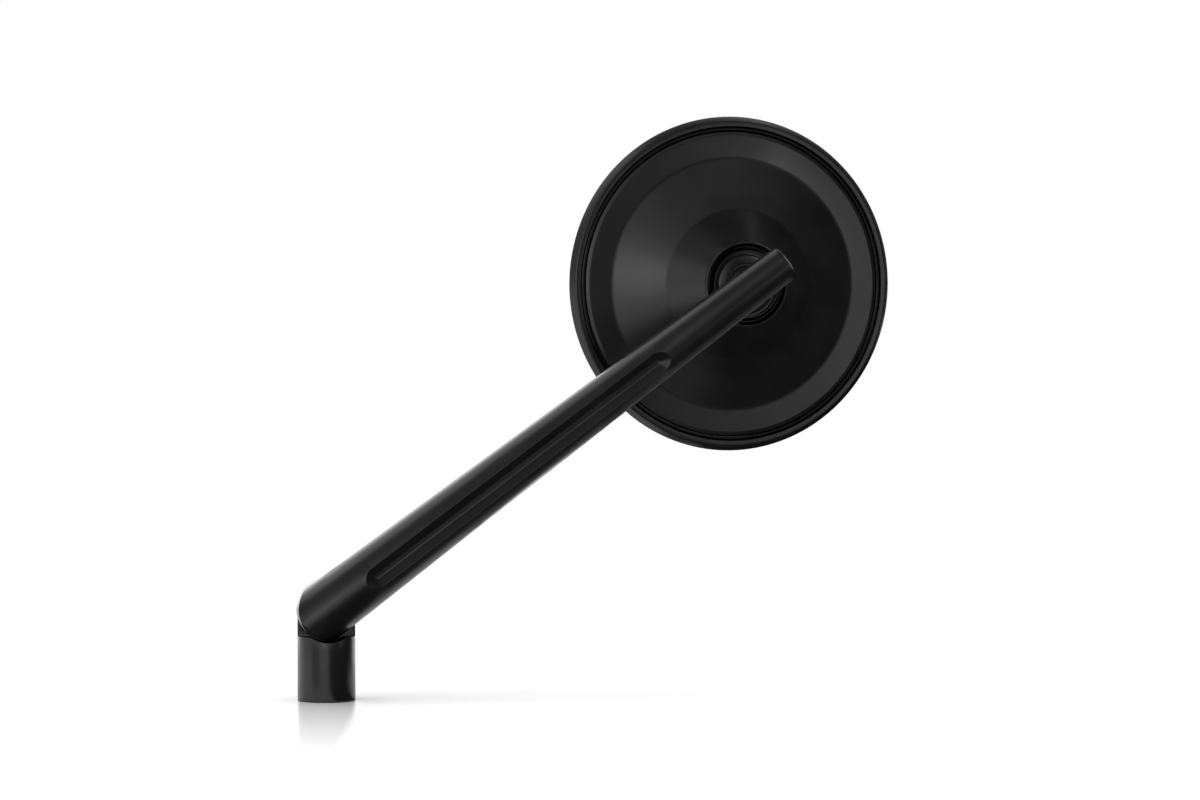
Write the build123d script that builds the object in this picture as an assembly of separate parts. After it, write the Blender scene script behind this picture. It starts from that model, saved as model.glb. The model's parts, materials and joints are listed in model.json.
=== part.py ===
from build123d import *
import math
import os

os.makedirs("parts", exist_ok=True)

# Bar end mirror, millimetres. The origin is the centre of the foot's underside and +Z runs up the
# foot. The hinge axis runs along Y, the arm rises towards +X and the glass looks towards +Y.

# Foot
foot_diameter = 16.8
foot_height = 18.7
foot_edge_chamfer = 0.35
socket_diameter = 8.75  # tapping size of an M10 x 1.25 thread
socket_depth = 13.0
socket_mouth_chamfer = 0.5

# Tilt hinge
saddle_depth = 1.5
knuckle_clearance = 0.4
lap_gap = 0.2
front_washer_thickness = 0.8
front_washer_diameter = 13.0
rear_washer_thickness = 0.5
slide_gap = 0.05
hinge_bolt_diameter = 5.0
bush_wall = 1.0
running_gap = 0.05
press_gap = 0.01
thread_gap = 0.02
bolt_head_diameter = 8.5
bolt_head_height = 2.6
bolt_head_sink = 1.0
bolt_key_size = 3.0
bolt_key_depth = 1.6
bolt_head_chamfer = 0.4
head_room = 0.35
shank_room = 0.15
hinge_spring_height = 0.7
hinge_spring_thickness = 0.4
blind_wall = 1.8
hole_run_out = 0.4

# Arm
arm_elevation = 36.6
lowest_elevation = 14.0
arm_length = 168.9
arm_root_diameter = 17.15
arm_tip_diameter = 10.9
tip_round = 1.2
knuckle_proud = 0.15
knuckle_round = 0.9
pocket_start = 13.5
pocket_end = 123.9
pocket_turn_angle = 4.0
pocket_floor_width = 1.6
pocket_floor_round = 0.8
pocket_depth = 2.6
pocket_wall_angle = 50.0
cutter_overrun = 0.6

# Ball stud and its lock screw
stud_setback = 11.6
stud_thread_diameter = 6.0
stud_shoulder_diameter = 9.0
stud_seat_depth = 2.6
stud_shoulder_length = 5.2
stud_flat_size = 7.6
stud_flat_length = 3.4
stud_edge_chamfer = 0.3
stud_wall = 2.2
seat_room = 0.1
neck_diameter = 6.4
neck_blend = 0.8
ball_offset = 21.5
ball_diameter = 14.0
lock_screw_diameter = 4.0
lock_screw_length = 5.0
lock_key_size = 2.0
lock_key_depth = 2.0
lock_point_chamfer = 0.6

# Ball socket
head_yaw = 7.0
socket_gap = 0.06
liner_thickness = 0.8
liner_height = 8.8
cup_wall = 1.0
cup_floor = 1.5
cup_drop = 0.5
cup_hole_diameter = 5.0
spring_stack = 1.8
spring_thickness = 0.5
spring_outer_diameter = 16.4
spring_inner_diameter = 8.4
hub_floor = 2.0

# Retaining nut and hub
nut_mouth_diameter = 12.4
nut_mouth_land = 0.3
nut_mouth_chamfer = 0.2
nut_face_diameter = 16.6
nut_flange_diameter = 20.2
nut_cone_drop = 1.9
nut_flange_edge = 1.5
nut_skirt_clear = 0.3
hub_lip_rise = 0.1
hub_groove_width = 2.0
hub_lip_width = 0.65
hub_lip_round = 0.25
hub_wall = 2.0
seal_squeeze_gap = 0.05

# Housing
flare_diameter = 44.4
flare_blend = 3.0
cone_rise = 6.05
step_diameter = 74.9
step_blend = 4.0
shell_wall = 2.0
spigot_wall = 1.5
spigot_clear = 0.15
flange_seat = 0.8
flange_edge_width = 1.1
flange_edge_drop = 0.3

# Rim, glass and pad
rim_diameter = 100.0
rim_back_width = 3.0
rim_back_height = 3.7
rim_chamfer_width = 1.5
rim_crease_round = 0.3
rim_front_depth = 3.0
rim_lip_wall = 1.15
rim_lip_inset = 2.55
rim_lip_round = 0.3
rim_widest_height = 1.6
rim_web = 2.1
seam_width = 1.6
seam_drop = 0.1
seam_edge_round = 0.2
glass_gap = 0.15
glass_thickness = 2.0
glass_radius_of_curve = 1200.0
glass_edge_chamfer = 0.3
pad_thickness = 0.8
pad_inset = 0.4

# Sizes that follow from the ones above
foot_radius = foot_diameter / 2
root_radius = arm_root_diameter / 2
tip_radius = arm_tip_diameter / 2
taper_angle = math.degrees(math.atan2(root_radius - tip_radius, arm_length))
knuckle_radius = root_radius + knuckle_proud
saddle_radius = knuckle_radius + knuckle_clearance
pivot_height = foot_height + saddle_radius - saddle_depth

# Places along the hinge axis, from the lap between the knuckle and the tab towards the screw head.
tab_front = lap_gap / 2
knuckle_back = -lap_gap / 2
bolt_radius = hinge_bolt_diameter / 2
bush_inner_radius = bolt_radius + running_gap
bush_outer_radius = bush_inner_radius + bush_wall
front_washer_seat = knuckle_back + slide_gap + front_washer_thickness
bolt_head_top = foot_radius - bolt_head_sink
bolt_head_seat = bolt_head_top - bolt_head_height
spring_seat = bolt_head_seat - hinge_spring_height
rear_washer_seat = spring_seat - slide_gap - rear_washer_thickness
bolt_hole_end = root_radius - blind_wall
low = math.radians(lowest_elevation)
foot_reach = math.sqrt(foot_radius**2 + root_radius**2 - 2 * foot_radius * root_radius * math.sin(low))
lap_radius = foot_reach / math.cos(low) + knuckle_clearance

stud_station = arm_length - stud_setback
station_radius = root_radius + (tip_radius - root_radius) * stud_station / arm_length
stud_seat = station_radius - stud_seat_depth
stud_hole_radius = stud_thread_diameter / 2
stud_hole_end = stud_wall - station_radius
shoulder_radius = stud_shoulder_diameter / 2
shoulder_top = stud_seat + stud_shoulder_length
neck_radius = neck_diameter / 2
ball_radius = ball_diameter / 2
lock_hole_radius = lock_screw_diameter / 2

liner_inner_radius = ball_radius + socket_gap
liner_outer_radius = liner_inner_radius + liner_thickness
seat_radius = liner_outer_radius + socket_gap
cup_radius = seat_radius + cup_wall
hub_bore_radius = cup_radius + running_gap
nut_mouth_radius = nut_mouth_diameter / 2
nut_face_radius = nut_face_diameter / 2
nut_flange_radius = nut_flange_diameter / 2
nut_face_height = math.sqrt(seat_radius**2 - nut_mouth_radius**2) + nut_mouth_land
nut_cone_foot = nut_face_height - nut_cone_drop
hub_shelf = nut_cone_foot - nut_flange_edge
hub_lip_height = nut_face_height + hub_lip_rise
hub_groove_radius = nut_flange_radius + hub_groove_width
hub_lip_radius = hub_groove_radius + hub_lip_width

# Heights in the head run from the ball centre towards the arm. The pad plane is the face of the rim's
# web that the pad is stuck to.
cup_foot = -(seat_radius + cup_floor)
hub_floor_top = cup_foot - spring_stack
pad_plane = hub_floor_top - hub_floor
web_top = pad_plane + rim_web
rim_back = pad_plane + rim_back_height
rim_widest = pad_plane + rim_widest_height
rim_front = pad_plane - rim_front_depth
cone_top = rim_back + cone_rise

rim_radius = rim_diameter / 2
seam_outer_radius = rim_radius - rim_back_width
flange_radius = seam_outer_radius - seam_width
web_bore_radius = flange_radius - flange_seat
spigot_radius = web_bore_radius - thread_gap
recess_radius = rim_radius - rim_lip_inset
glass_radius = recess_radius - glass_gap
pad_radius = glass_radius - pad_inset
step_radius = step_diameter / 2
flare_radius = flare_diameter / 2

# Places
along_y = Rotation(-90, 0, 0)
along_x = Rotation(0, 90, 0)
pivot_place = Location((0, 0, pivot_height))
arm_place = pivot_place * Location((0, 0, 0), (0, -arm_elevation, 0))
stud_place = arm_place * Location((stud_station, 0, 0)) * along_y
ball_centre = (stud_place * Location((0, 0, ball_offset))).position
yaw = math.radians(head_yaw)
head_place = Plane(
    origin=ball_centre,
    x_dir=(math.cos(yaw), math.sin(yaw), 0),
    z_dir=(math.sin(yaw), -math.cos(yaw), 0),
).location


def rod(radius, start, end):
    """Cylinder on Z between two heights."""
    return Pos(0, 0, start) * Cylinder(radius, end - start, align=(Align.CENTER, Align.CENTER, Align.MIN))


def turned(outline, rounds=()):
    """Solid of revolution about Z from a closed outline of (radius, height) points.

    Each entry of rounds is a corner of the outline and the fillet radius it gets.
    """
    face = make_face(Polyline(*outline, close=True))
    for corner, radius in rounds:
        vertex = face.vertices().sort_by_distance((corner[0], corner[1], 0))[0]
        face = fillet(vertex, radius)
    return revolve(Plane.XZ * face, axis=Axis.Z)


def hex_key(size, depth):
    """Hexagonal key recess that reaches from height zero down to its depth."""
    return extrude(RegularPolygon(size / 2, 6, major_radius=False), amount=-depth)


def disc_spring(outer, inner, thickness, height):
    """Coned spring washer that stands on its outer edge."""
    rise = height - thickness
    return turned([(outer, 0), (outer, thickness), (inner, height), (inner, rise)])


def sagitta(radius, curve):
    """Fall of a sphere of radius curve at a distance radius from its pole."""
    return curve - math.sqrt(curve**2 - radius**2)


def dished_face(radius, curve, edge):
    """Half section arc of a bulge towards -Z that passes through (radius, edge)."""
    pole = edge - sagitta(radius, curve)
    middle = pole + sagitta(radius / 2, curve)
    return ThreePointArc((0, pole), (radius / 2, middle), (radius, edge))


def base_post():
    """Foot with its threaded socket, the saddle for the knuckle and the half round tab with its eye."""
    body = rod(foot_radius, 0, pivot_height + foot_radius)
    body = chamfer(body.edges().group_by(Axis.Z)[0], foot_edge_chamfer)
    reach = 2 * foot_diameter
    front = Pos(0, tab_front - reach / 2, foot_height + reach / 2) * Box(reach, reach, reach)
    saddle = rod(saddle_radius, -reach, tab_front)
    above = Pos(0, 0, pivot_height + reach / 2) * Box(reach, reach, reach)
    eye = pivot_place * along_y * rod(foot_radius, -reach, reach)
    bush_bore = rod(bush_outer_radius + press_gap, 0, foot_radius)
    washer_recess = rod(front_washer_diameter / 2 + seat_room, 0, front_washer_seat)
    head_way = rod(bolt_head_diameter / 2 + head_room, rear_washer_seat, reach)
    hinge_cuts = pivot_place * along_y * (saddle + bush_bore + washer_recess + head_way)
    socket_radius = socket_diameter / 2
    mouth = socket_radius + socket_mouth_chamfer
    drill_point = socket_depth + socket_radius * math.tan(math.radians(31))
    socket = turned(
        [
            (0, 0),
            (mouth, 0),
            (socket_radius, socket_mouth_chamfer),
            (socket_radius, socket_depth),
            (0, drill_point),
        ]
    )
    return body - front - (above - eye) - hinge_cuts - socket


def hinge_bush():
    """Plain bush in the eye of the tab."""
    sleeve = rod(bush_outer_radius, front_washer_seat, rear_washer_seat)
    return pivot_place * along_y * (sleeve - rod(bush_inner_radius, front_washer_seat, rear_washer_seat))


def friction_washer(diameter, start, thickness):
    """Plastic washer round the hinge screw that reaches from start through its thickness."""
    disc = rod(diameter / 2, start, start + thickness)
    return pivot_place * along_y * (disc - rod(bolt_radius + shank_room, start, start + thickness))


def arm_taper():
    """Tapered bar on X, run on past the pivot so that the knuckle can be shaped from it."""
    run_on = 2 * knuckle_radius
    slope = (root_radius - tip_radius) / arm_length
    bar = Cone(root_radius + slope * run_on, tip_radius, arm_length + run_on)
    bar = Pos((arm_length - run_on) / 2, 0, 0) * along_x * bar
    return fillet(bar.edges().filter_by(GeomType.CIRCLE).sort_by(Axis.X)[-1], tip_round)


def knuckle_waste():
    """Stock outside the rounded knuckle, all of it behind the pivot."""
    slope = (root_radius - tip_radius) / arm_length
    half_width = root_radius + slope * knuckle_radius
    coin = along_y * Cylinder(knuckle_radius, 2 * half_width)
    coin = fillet(coin.edges().filter_by(GeomType.CIRCLE), knuckle_round)
    block_size = 6 * knuckle_radius
    block = Pos(-block_size / 2, 0, 0) * Box(block_size, block_size, block_size)
    return block - coin


def arm_pocket():
    """Long pocket with sloped walls in the front of the arm, its floor parallel to the tapered side."""
    length = (pocket_end - pocket_start) / math.cos(math.radians(taper_angle))
    middle = (pocket_start + pocket_end) / 2
    crown = root_radius + (tip_radius - root_radius) * middle / arm_length
    tilt = math.radians(taper_angle)
    outward = (math.sin(tilt), -math.cos(tilt), 0)
    front = Plane(origin=(middle, -crown, 0), x_dir=(math.cos(tilt), math.sin(tilt), 0), z_dir=outward)
    wall_run = (pocket_depth + cutter_overrun) * math.tan(math.radians(pocket_wall_angle))
    top_width = pocket_floor_width + 2 * wall_run
    edge_run = 2 * pocket_depth * math.tan(math.radians(pocket_wall_angle))
    centres = length - pocket_floor_width - edge_run
    floor = SlotCenterToCenter(centres, pocket_floor_width)
    mouth = SlotCenterToCenter(centres, top_width)
    cutter = loft([Pos(0, 0, -pocket_depth) * floor, Pos(0, 0, cutter_overrun) * mouth], ruled=True)
    cutter = fillet(cutter.edges().group_by(Axis.Z)[0], pocket_floor_round)
    return Rotation(pocket_turn_angle, 0, 0) * front.location * cutter


def arm():
    """Tapered arm with the lapped knuckle, the hinge thread, the front pocket and the stud seat."""
    body = arm_taper() - knuckle_waste() - arm_pocket()
    lap = rod(lap_radius, knuckle_back, 2 * root_radius)
    thread = rod(bolt_radius + thread_gap, -bolt_hole_end, 0)
    body = body - along_y * (lap + thread)
    stud_way = rod(shoulder_radius + seat_room, stud_seat, 2 * root_radius)
    stud_thread = rod(stud_hole_radius, stud_hole_end, stud_seat)
    body = body - Pos(stud_station, 0, 0) * along_y * (stud_way + stud_thread)
    return body - along_x * rod(lock_hole_radius, stud_station, arm_length + tip_round)


def hinge_bolt():
    """Low head socket screw that clamps the knuckle and the tab together."""
    shank = rod(bolt_radius, hole_run_out - bolt_hole_end, bolt_head_seat)
    head = rod(bolt_head_diameter / 2, bolt_head_seat, bolt_head_top)
    head = chamfer(head.edges().group_by(Axis.Z)[-1], bolt_head_chamfer)
    return shank + head - Pos(0, 0, bolt_head_top) * hex_key(bolt_key_size, bolt_key_depth)


def hinge_spring_washer():
    """Disc spring between the screw head and the rear washer."""
    spring = disc_spring(
        bolt_head_diameter / 2, bolt_radius + shank_room, hinge_spring_thickness, hinge_spring_height
    )
    return Pos(0, 0, spring_seat) * spring


def ball_stud():
    """Ball, neck, spanner shoulder and threaded shank, turned in one piece."""
    shank_end = stud_hole_end + hole_run_out
    shank_radius = stud_hole_radius - thread_gap
    body = turned(
        [
            (0, shank_end),
            (shank_radius - stud_edge_chamfer, shank_end),
            (shank_radius, shank_end + stud_edge_chamfer),
            (shank_radius, stud_seat),
            (shoulder_radius, stud_seat),
            (shoulder_radius, shoulder_top - stud_edge_chamfer),
            (shoulder_radius - stud_edge_chamfer, shoulder_top),
            (neck_radius, shoulder_top),
            (neck_radius, ball_offset),
            (0, ball_offset),
        ],
        [((neck_radius, shoulder_top), neck_blend)],
    )
    flat_gap = stud_shoulder_diameter - stud_flat_size
    flat = Box(flat_gap, stud_shoulder_diameter, stud_flat_length)
    flat_middle = shoulder_top - stud_flat_length / 2
    for side in (-1, 1):
        body -= Pos(side * stud_shoulder_diameter / 2, 0, flat_middle) * flat
    return body + Pos(0, 0, ball_offset) * Sphere(ball_radius)


def stud_lock_screw():
    """Set screw on the arm's axis that bears on the stud's shank."""
    start = stud_hole_radius
    end = start + lock_screw_length
    screw = rod(lock_hole_radius - thread_gap, start, end)
    screw = chamfer(screw.edges().group_by(Axis.Z)[0], lock_point_chamfer)
    screw -= Pos(0, 0, end) * hex_key(lock_key_size, lock_key_depth)
    return Pos(stud_station, 0, 0) * along_x * screw


def ball_liner():
    """Plastic band of a hollow sphere between the ball and its seats."""
    shell = Sphere(liner_outer_radius) - Sphere(liner_inner_radius)
    return shell & Cylinder(2 * liner_outer_radius, liner_height)


def pressure_cup():
    """Sprung seat under the ball."""
    hole = cup_hole_diameter / 2
    blank = rod(cup_radius, cup_foot, -cup_drop) - rod(hole, cup_foot, 0)
    return blank - Sphere(seat_radius)


def disc_springs():
    """Two disc springs set face to face under the cup."""
    half = spring_stack / 2
    spring = disc_spring(spring_outer_diameter / 2, spring_inner_diameter / 2, spring_thickness, half)
    middle = Pos(0, 0, hub_floor_top + half)
    upper = middle * spring
    lower = middle * Rotation(180, 0, 0) * spring
    return Compound([lower.solid(), upper.solid()])


def retaining_nut():
    """Round nut with a coned face, screwed into the hub over the ball."""
    skirt = hub_bore_radius - thread_gap
    mouth = nut_mouth_radius + nut_mouth_chamfer
    blank = turned(
        [
            (nut_mouth_radius, nut_skirt_clear),
            (skirt, nut_skirt_clear),
            (skirt, hub_shelf),
            (nut_flange_radius, hub_shelf),
            (nut_flange_radius, nut_cone_foot),
            (nut_face_radius, nut_face_height),
            (mouth, nut_face_height),
            (nut_mouth_radius, nut_face_height - nut_mouth_chamfer),
        ]
    )
    return blank - Sphere(seat_radius)


def hub_seal():
    """Rubber ring in the groove between the nut and the hub's lip."""
    section = hub_groove_width / 2 - seal_squeeze_gap
    ring = Torus(nut_flange_radius + hub_groove_width / 2, section)
    return Pos(0, 0, hub_shelf + section) * ring


def housing():
    """Back shell: flat annulus, shallow cone, flared hub with its bore, and the threaded spigot."""
    slope = math.atan2(cone_rise, step_radius - flare_radius)
    drop = shell_wall / math.cos(slope)
    spigot_foot = pad_plane + spigot_clear
    spigot_bore = spigot_radius - spigot_wall
    flange_inner = rim_back - drop
    return turned(
        [
            (hub_lip_radius, hub_lip_height - hub_lip_width),
            (hub_lip_radius, hub_lip_height),
            (hub_groove_radius, hub_lip_height),
            (hub_groove_radius, hub_shelf),
            (hub_bore_radius, hub_shelf),
            (hub_bore_radius, hub_floor_top),
            (0, hub_floor_top),
            (0, pad_plane),
            (hub_bore_radius + hub_wall, pad_plane),
            (hub_bore_radius + hub_wall, cone_top),
            (flare_radius - shell_wall, cone_top - drop),
            (step_radius - shell_wall / 4, flange_inner),
            (spigot_bore, flange_inner),
            (spigot_bore, spigot_foot),
            (spigot_radius, spigot_foot),
            (spigot_radius, web_top),
            (flange_radius, web_top),
            (flange_radius, rim_back - flange_edge_drop),
            (flange_radius - flange_edge_width, rim_back),
            (step_radius, rim_back),
            (flare_radius, cone_top),
        ],
        [
            ((step_radius, rim_back), step_blend),
            ((flare_radius, cone_top), flare_blend),
            ((hub_lip_radius, hub_lip_height), hub_lip_round),
        ],
    )


def rim_ring():
    """Outer ring: chamfered back edge, tapered front, web for the housing and recess for the glass."""
    front_radius = recess_radius + rim_lip_wall
    return turned(
        [
            (web_bore_radius, pad_plane),
            (recess_radius, pad_plane),
            (recess_radius, rim_front),
            (front_radius, rim_front),
            (rim_radius, rim_widest),
            (rim_radius - rim_chamfer_width, rim_back),
            (seam_outer_radius, rim_back),
            (seam_outer_radius, web_top),
            (web_bore_radius, web_top),
        ],
        [
            ((front_radius, rim_front), rim_lip_round),
            ((rim_radius - rim_chamfer_width, rim_back), rim_crease_round),
            ((seam_outer_radius, rim_back), seam_edge_round),
        ],
    )


def rim_seal():
    """Rubber ring in the seam between the rim and the housing."""
    section = (rim_back - seam_drop - web_top) / 2
    ring = Torus((seam_outer_radius + flange_radius) / 2, section)
    return Pos(0, 0, web_top + section) * ring


def mirror_glass():
    """Bent glass, the same thickness all over, that bulges towards the rider."""
    back_edge = pad_plane - pad_thickness
    front_edge = back_edge - glass_thickness
    back = dished_face(glass_radius, glass_radius_of_curve, back_edge)
    front = dished_face(glass_radius, glass_radius_of_curve, front_edge)
    face = make_face(back + Line(back @ 1, front @ 1) + front + Line(front @ 0, back @ 0))
    edge = face.vertices().sort_by_distance((glass_radius, front_edge, 0))[0]
    face = chamfer(edge, glass_edge_chamfer)
    return revolve(Plane.XZ * face, axis=Axis.Z)


def backing_pad():
    """Adhesive pad between the web and the back of the glass."""
    back_edge = pad_plane - pad_thickness
    full = dished_face(glass_radius, glass_radius_of_curve, back_edge)
    centre = (0, pad_plane)
    corner = (glass_radius, pad_plane)
    face = make_face(full + Line(full @ 1, corner) + Line(corner, centre) + Line(centre, full @ 0))
    disc = revolve(Plane.XZ * face, axis=Axis.Z)
    return disc & rod(pad_radius, rim_front - glass_thickness, pad_plane)


hinge_place = arm_place * along_y

parts = {
    "base_post": base_post(),
    "hinge_bush": hinge_bush(),
    "front_friction_washer": friction_washer(
        front_washer_diameter, front_washer_seat - front_washer_thickness, front_washer_thickness
    ),
    "rear_friction_washer": friction_washer(bolt_head_diameter, rear_washer_seat, rear_washer_thickness),
    "arm": arm_place * arm(),
    "hinge_bolt": hinge_place * hinge_bolt(),
    "hinge_spring_washer": hinge_place * hinge_spring_washer(),
    "ball_stud": stud_place * ball_stud(),
    "stud_lock_screw": arm_place * stud_lock_screw(),
    "ball_liner": head_place * ball_liner(),
    "pressure_cup": head_place * pressure_cup(),
    "disc_springs": head_place * disc_springs(),
    "retaining_nut": head_place * retaining_nut(),
    "hub_seal": head_place * hub_seal(),
    "housing": head_place * housing(),
    "rim_ring": head_place * rim_ring(),
    "rim_seal": head_place * rim_seal(),
    "mirror_glass": head_place * mirror_glass(),
    "backing_pad": head_place * backing_pad(),
}

for node, shape in parts.items():
    export_step(shape, f"parts/{node}.step")
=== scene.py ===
import json
import logging
import math
from dataclasses import dataclass, replace
from enum import Enum

import bmesh
import bpy
from mathutils import Matrix, Vector


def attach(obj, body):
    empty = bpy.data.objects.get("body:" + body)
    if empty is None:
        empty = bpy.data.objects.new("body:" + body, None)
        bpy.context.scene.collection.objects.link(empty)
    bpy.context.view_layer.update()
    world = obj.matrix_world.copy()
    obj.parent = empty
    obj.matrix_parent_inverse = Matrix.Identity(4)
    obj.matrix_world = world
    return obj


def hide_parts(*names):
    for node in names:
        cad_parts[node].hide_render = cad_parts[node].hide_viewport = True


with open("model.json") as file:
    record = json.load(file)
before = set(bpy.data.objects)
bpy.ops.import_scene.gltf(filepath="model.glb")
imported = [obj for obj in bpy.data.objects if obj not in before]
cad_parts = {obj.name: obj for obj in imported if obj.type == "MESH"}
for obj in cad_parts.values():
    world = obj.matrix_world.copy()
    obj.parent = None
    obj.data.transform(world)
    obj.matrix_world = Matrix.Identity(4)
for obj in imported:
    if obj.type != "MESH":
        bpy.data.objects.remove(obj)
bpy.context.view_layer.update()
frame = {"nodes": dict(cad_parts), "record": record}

MM = 0.001
log = logging.getLogger("mirror")

# Steps of the meshes, the reach within which points are one, in metres, and the crease angle in degrees
MERGE_REACH = 1e-6
ROUND_STEPS = 5
TURN_STEPS = 160
SMALL_TURN_STEPS = 96
CREASE = 25.0

Span = tuple[float, float]
Triple = tuple[float, float, float]
Piece = bpy.types.Object
Socket = bpy.types.NodeSocket

# Values between which most of a noise lies
NOISE_SPAN: Span = (0.3, 0.7)

# Cosine between the soft normal and the face where the lighter edge, part wear and part painted highlight, is
# full and where it ends
WORN_AND_LIT_EDGE: Span = (0.85, 0.995)
# Least share of the lighter edge, part wear and part painted highlight, between its patches
FAINTEST_WEAR_AND_HIGHLIGHT = 0.25

# Colour sockets of a mix node
MIX_FIRST, MIX_SECOND, MIX_RESULT = 6, 7, 2


class Body(Enum):
    """Bodies that the new pieces ride on."""

    FOOT = "foot"
    ARM = "arm_group"
    HEAD = "head"


class Slot(Enum):
    """Material slots of the record that the new pieces belong to."""

    BLACK_ANODISED = "black_anodised"
    BLACK_STEEL = "black_steel"
    MIRROR_GLASS = "mirror_glass"


@dataclass(frozen=True)
class Lathe:
    """A turning axis in the part's frame, in metres.

    Local Z runs along the axis, and local X and Y lie across it.
    """

    origin: Triple
    across: Triple
    along: Triple

    def matrix(self) -> Matrix:
        """Place and turn of this axis.

        Returns:
            Matrix that carries a piece turned about Z at the origin to the axis.
        """
        x_dir = Vector(self.across).normalized()
        z_dir = Vector(self.along).normalized()
        y_dir = z_dir.cross(x_dir)
        turn = Matrix((x_dir, y_dir, z_dir)).transposed().to_4x4()
        return Matrix.Translation(Vector(self.origin)) @ turn


def joint_place(name: str) -> tuple[Vector, Vector]:
    """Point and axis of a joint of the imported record.

    Args:
        name: The joint's name.

    Returns:
        A point on the joint's axis in metres, and the axis.
    """
    for joint in frame["record"]["behaviour"]["joints"]:
        if joint["name"] == name:
            return Vector(joint["pos_m"]), Vector(joint["axis"])
    raise KeyError(name)


ball_centre, head_axis = joint_place("head_spin")
pivot = joint_place("arm_tilt")[0]
arm_line = (ball_centre - pivot) * Vector((1, 0, 1))

FOOT_LATHE = Lathe((0, 0, 0), (1, 0, 0), (0, 0, 1))
ARM_LATHE = Lathe(tuple(pivot), (0, -1, 0), tuple(arm_line))
HINGE_LATHE = Lathe(tuple(pivot), tuple(arm_line), (0, 1, 0))
STUD_LATHE = Lathe(tuple(pivot + arm_line), tuple(arm_line), (0, 1, 0))
HEAD_LATHE = Lathe(tuple(ball_centre), (-head_axis.y, head_axis.x, 0), tuple(head_axis))


class Graph:
    """Shader nodes of one material, added and linked in short calls."""

    def __init__(self, name: str) -> None:
        """Start a material with an empty node tree and its output.

        Args:
            name: The material's name.
        """
        self.material = bpy.data.materials.new(name)
        self.material.use_nodes = True
        self.tree = self.material.node_tree
        self.tree.nodes.clear()
        self.output = self.add("ShaderNodeOutputMaterial")

    def add(self, kind: str, **settings: object) -> bpy.types.Node:
        """Add a node.

        Args:
            kind: The node's type name.
            settings: Attributes of the node.

        Returns:
            The new node.
        """
        node = self.tree.nodes.new(kind)
        for key, value in settings.items():
            setattr(node, key, value)
        return node

    def join(self, source: Socket, target: Socket) -> None:
        """Link an output socket to an input socket."""
        self.tree.links.new(source, target)

    def surface(self, shader: Socket) -> bpy.types.Material:
        """Material with this shader on its surface."""
        self.join(shader, self.output.inputs["Surface"])
        return self.material

    def product(self, first: Socket, second: Socket) -> Socket:
        """Product of two values.

        Args:
            first: Socket of one value.
            second: Socket of the other.

        Returns:
            The product's socket.
        """
        node = self.add("ShaderNodeMath", operation="MULTIPLY")
        self.join(first, node.inputs[0])
        self.join(second, node.inputs[1])
        return node.outputs[0]

    def noise(self, vector: Socket, scale: float, detail: float = 2.0, roughness: float = 0.5) -> Socket:
        """Value of a noise texture.

        Args:
            vector: Socket that gives the place.
            scale: Cells in a metre.
            detail: Octaves.
            roughness: Weight of the finer octaves.

        Returns:
            The noise value's socket.
        """
        node = self.add("ShaderNodeTexNoise")
        self.join(vector, node.inputs["Vector"])
        node.inputs["Scale"].default_value = scale
        node.inputs["Detail"].default_value = detail
        node.inputs["Roughness"].default_value = roughness
        return node.outputs["Fac"]

    def spread(self, value: Socket, low: float, high: float, span: Span = NOISE_SPAN) -> Socket:
        """Value mapped from a span to another one and held at its ends.

        Args:
            value: Socket of the value.
            low: Result at the span's start.
            high: Result at the span's end.
            span: Values to map from.

        Returns:
            The result's socket.
        """
        node = self.add("ShaderNodeMapRange")
        self.join(value, node.inputs["Value"])
        node.inputs["From Min"].default_value = span[0]
        node.inputs["From Max"].default_value = span[1]
        node.inputs["To Min"].default_value = low
        node.inputs["To Max"].default_value = high
        return node.outputs["Result"]

    def tint(self, value: Socket, dark: Triple, light: Triple) -> Socket:
        """Colour between two tints, chosen by a noise.

        Args:
            value: Socket of the noise.
            dark: Tint at the low end.
            light: Tint at the high end.

        Returns:
            The colour's socket.
        """
        node = self.add("ShaderNodeValToRGB")
        ramp = node.color_ramp.elements
        ramp[0].position, ramp[1].position = NOISE_SPAN
        ramp[0].color = (*dark, 1)
        ramp[1].color = (*light, 1)
        self.join(value, node.inputs["Fac"])
        return node.outputs["Color"]

    def bump(self, height: Socket, depth: float, strength: float, normal: Socket | None = None) -> Socket:
        """Normal after a bump.

        Args:
            height: Socket that gives the height from 0 to 1.
            depth: Height of the bump in metres.
            strength: Weight of the bump.
            normal: Socket of the normal to start from, if any.

        Returns:
            The new normal's socket.
        """
        node = self.add("ShaderNodeBump")
        node.inputs["Strength"].default_value = strength
        node.inputs["Distance"].default_value = depth
        self.join(height, node.inputs["Height"])
        if normal is not None:
            self.join(normal, node.inputs["Normal"])
        return node.outputs["Normal"]

    def blend(self, share: Socket, first: Socket, second: Triple) -> Socket:
        """Colour that goes from a socket's colour to a fixed one.

        Args:
            share: Socket of the fixed colour's share, from 0 to 1.
            first: Socket of the colour to start from.
            second: The fixed colour.

        Returns:
            The colour's socket.
        """
        node = self.add("ShaderNodeMix", data_type="RGBA")
        self.join(share, node.inputs["Factor"])
        self.join(first, node.inputs[MIX_FIRST])
        node.inputs[MIX_SECOND].default_value = (*second, 1)
        return node.outputs[MIX_RESULT]

    def edge_wear_and_highlight(self, soft_normal: Socket, patches: Socket) -> Socket:
        """Share of lighter edge, part wear and part painted highlight, that rises in patches where an edge
        turns the soft normal off the face.

        Args:
            soft_normal: Socket of the normal with rounded edges.
            patches: Socket of a noise.

        Returns:
            The share's socket, from 0 to 1.
        """
        geometry = self.add("ShaderNodeNewGeometry")
        turn = self.add("ShaderNodeVectorMath", operation="DOT_PRODUCT")
        self.join(soft_normal, turn.inputs[0])
        self.join(geometry.outputs["Normal"], turn.inputs[1])
        edge = self.spread(turn.outputs["Value"], 1.0, 0.0, WORN_AND_LIT_EDGE)
        return self.product(edge, self.spread(patches, FAINTEST_WEAR_AND_HIGHLIGHT, 1.0))

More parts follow.
